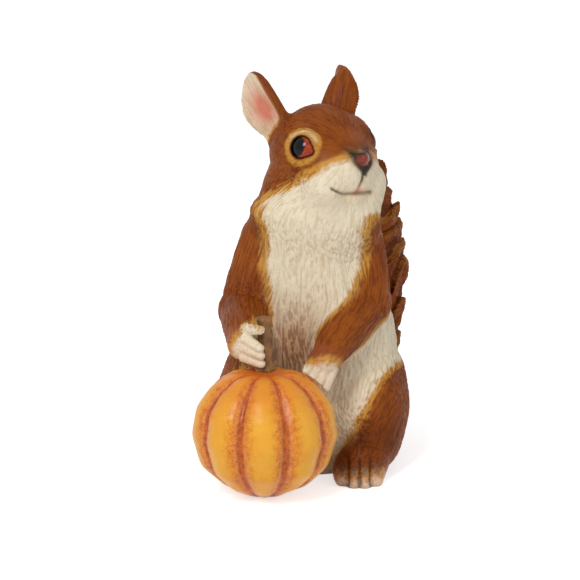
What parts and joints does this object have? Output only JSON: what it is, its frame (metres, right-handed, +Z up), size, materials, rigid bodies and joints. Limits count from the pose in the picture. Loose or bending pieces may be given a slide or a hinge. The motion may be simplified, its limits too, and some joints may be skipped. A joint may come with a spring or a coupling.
{
  "type": "squirrel figurine",
  "caption": "Painted resin squirrel figurine sitting upright with its forepaws on a ribbed pumpkin, bushy tail up its back, flat underside to stand on.",
  "frame": {"origin": "on the flat underside of the body, in its ground plane, under the body's own middle axis", "axes": "+Z up from the ground; the squirrel's belly faces -Y and its own left side is +X"},
  "size_m": [0.095, 0.1459, 0.174],
  "materials": {
    "fur_paint": "hand-painted resin, chestnut fur with a cream chest",
    "eye_gloss": "high-gloss dome",
    "pumpkin_paint": "satin paint, speckled in the grooves",
    "stem_paint": "satin paint",
    "plug_rubber": "plain moulded stopper"
  },
  "bodies": {
    "root": {"body": "fur_paint", "head": "fur_paint", "left_ear": "fur_paint", "right_ear": "fur_paint", "left_arm": "fur_paint", "right_arm": "fur_paint", "left_haunch": "fur_paint", "right_haunch": "fur_paint", "left_foot": "fur_paint", "right_foot": "fur_paint", "tail": "fur_paint", "left_eye": "eye_gloss", "right_eye": "eye_gloss", "pumpkin": "pumpkin_paint", "pumpkin_stem": "stem_paint", "body_plug": "plug_rubber", "pumpkin_plug": "plug_rubber"}
  },
  "joints": []
}
